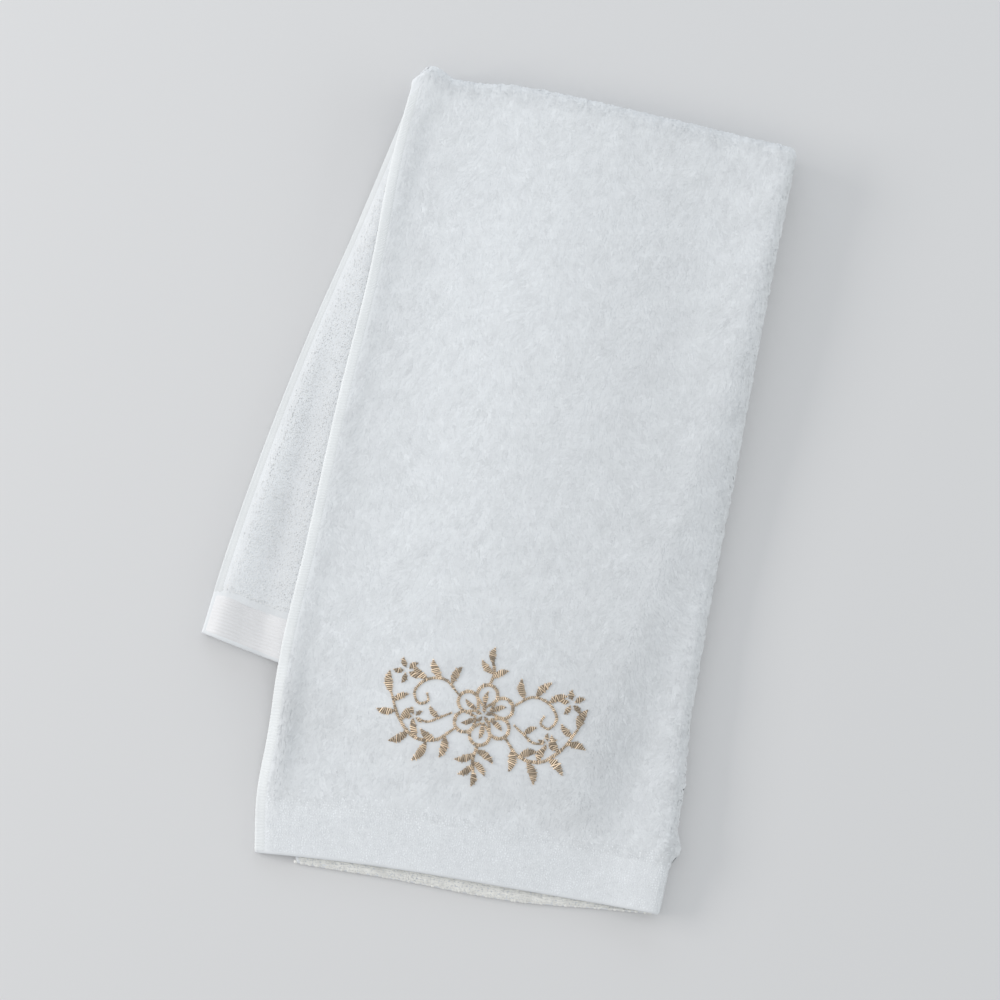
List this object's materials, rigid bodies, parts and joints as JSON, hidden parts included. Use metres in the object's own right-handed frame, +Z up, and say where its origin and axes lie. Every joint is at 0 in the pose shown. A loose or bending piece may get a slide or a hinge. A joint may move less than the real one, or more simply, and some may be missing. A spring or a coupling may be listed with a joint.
{
  "type": "hand towel",
  "caption": "White cotton terry hand towel, folded across and then lengthwise and laid flat, its rear half fanned out at the left, with a stitched floral spray above the front hem.",
  "frame": {"origin": "under the middle of the folded towel's bounding box, on the surface it lies on", "axes": "+Y from the front hem to the cross fold, +X towards the lengthwise fold, +Z up"},
  "size_m": [0.2504, 0.4057, 0.0213],
  "materials": {
    "cotton_terry": "white cotton, sheared velour on the face and loop pile on the reverse, with flat-woven ribbed hems",
    "embroidery_thread": "satin-stitched thread in beige, gold and brown"
  },
  "bodies": {
    "root": {"hand_towel": "cotton_terry"}
  },
  "joints": []
}
